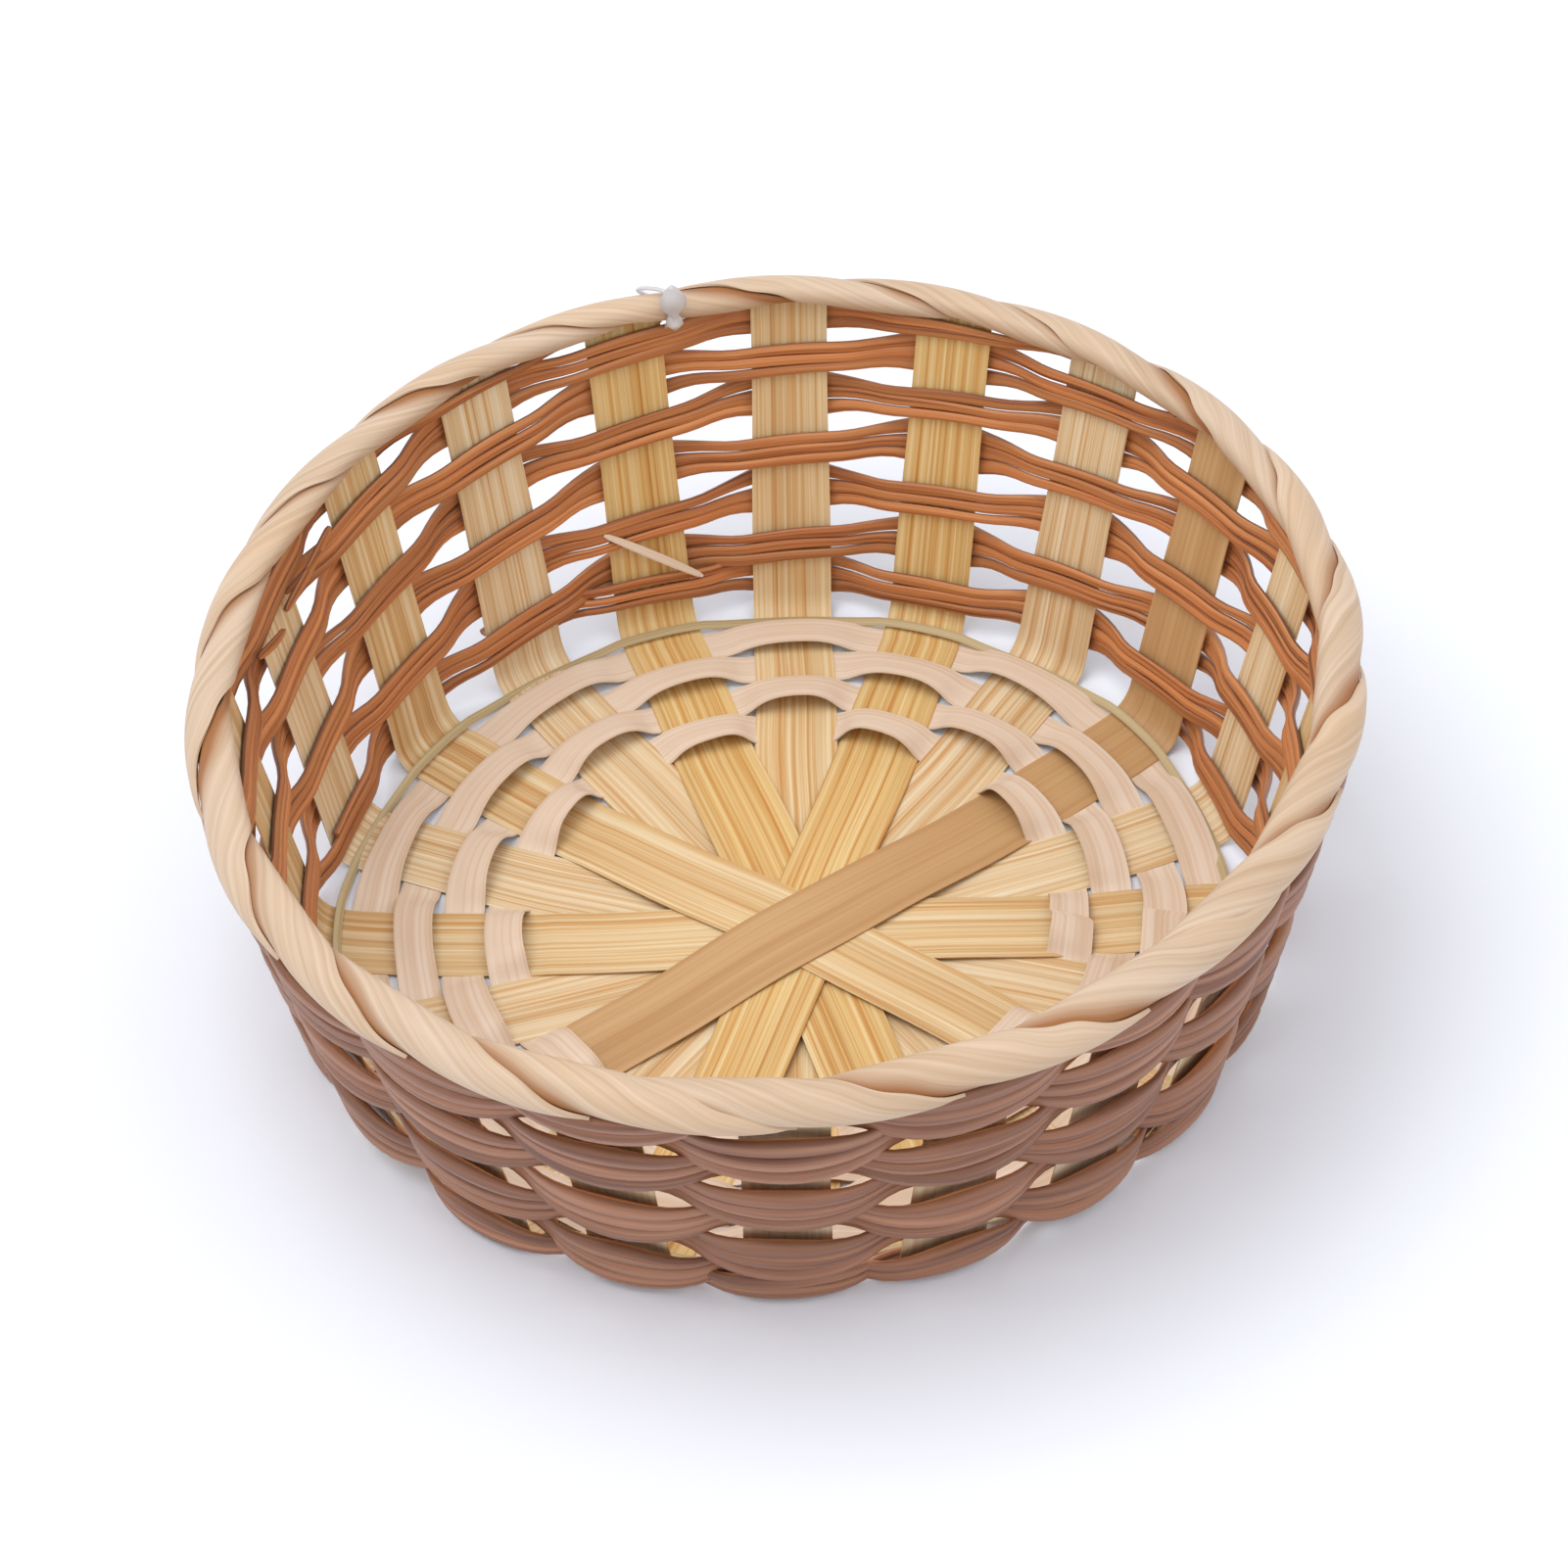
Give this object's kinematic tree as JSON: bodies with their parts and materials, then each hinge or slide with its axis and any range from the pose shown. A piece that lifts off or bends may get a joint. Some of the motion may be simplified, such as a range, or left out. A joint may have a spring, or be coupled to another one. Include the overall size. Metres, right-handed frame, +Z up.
{
  "type": "woven wicker basket",
  "caption": "Round shallow woven basket: flat bamboo strips cross in the base and rise as stakes, brown strands weave the flared wall, and a pale rolled border finishes the rim.",
  "frame": {"origin": "centre of the base on the surface that the basket stands on", "axes": "+Z up through the middle of the basket; +X lies 2 degrees from the first crossing strip"},
  "size_m": [0.2, 0.2, 0.0689],
  "materials": {
    "bamboo_strip": "dry split bamboo with fine lengthwise fibre lines, matt to satin",
    "pale_band": "thin shaved bamboo, silky, with faint lengthwise grain",
    "green_strand": "narrow split with its skin side showing, slightly green",
    "brown_strand": "dyed brown split strand, smooth satin skin, dark at its edges",
    "hoop_core": "plain split cane, hidden inside the border",
    "border_strip": "pale smooth bamboo strip, satin, with fine creases where it turns",
    "clear_plastic": "clear moulded nylon"
  },
  "bodies": {
    "root": {"stake_strip_01": "bamboo_strip", "stake_strip_02": "bamboo_strip", "stake_strip_03": "bamboo_strip", "stake_strip_04": "bamboo_strip", "stake_strip_05": "bamboo_strip", "stake_strip_06": "bamboo_strip", "stake_strip_07": "bamboo_strip", "stake_strip_08": "bamboo_strip", "stake_strip_09": "bamboo_strip", "stake_strip_10": "bamboo_strip", "base_band_01": "pale_band", "base_band_02": "pale_band", "base_band_03": "pale_band", "base_band_04": "pale_band", "foot_strand": "green_strand", "wall_bundle_1_strand_1": "brown_strand", "wall_bundle_1_strand_2": "brown_strand", "wall_bundle_1_strand_3": "brown_strand", "wall_bundle_2_strand_1": "brown_strand", "wall_bundle_2_strand_2": "brown_strand", "wall_bundle_2_strand_3": "brown_strand", "wall_bundle_3_strand_1": "brown_strand", "wall_bundle_3_strand_2": "brown_strand", "wall_bundle_3_strand_3": "brown_strand", "wall_bundle_4_strand_1": "brown_strand", "wall_bundle_4_strand_2": "brown_strand", "wall_bundle_4_strand_3": "brown_strand", "wall_bundle_5_strand_1": "brown_strand", "wall_bundle_5_strand_2": "brown_strand", "wall_bundle_5_strand_3": "brown_strand", "wall_bundle_6_strand_1": "brown_strand", "wall_bundle_6_strand_2": "brown_strand", "wall_bundle_6_strand_3": "brown_strand", "border_hoop": "hoop_core", "border_turn_01": "border_strip", "border_turn_02": "border_strip", "border_turn_03": "border_strip", "border_turn_04": "border_strip", "border_turn_05": "border_strip", "border_turn_06": "border_strip", "border_turn_07": "border_strip", "border_turn_08": "border_strip", "border_turn_09": "border_strip", "border_turn_10": "border_strip", "border_turn_11": "border_strip", "border_turn_12": "border_strip", "border_turn_13": "border_strip", "border_turn_14": "border_strip", "border_turn_15": "border_strip", "border_turn_16": "border_strip", "border_turn_17": "border_strip", "border_turn_18": "border_strip", "border_turn_19": "border_strip", "border_turn_20": "border_strip", "tag_fastener": "clear_plastic"}
  },
  "joints": []
}
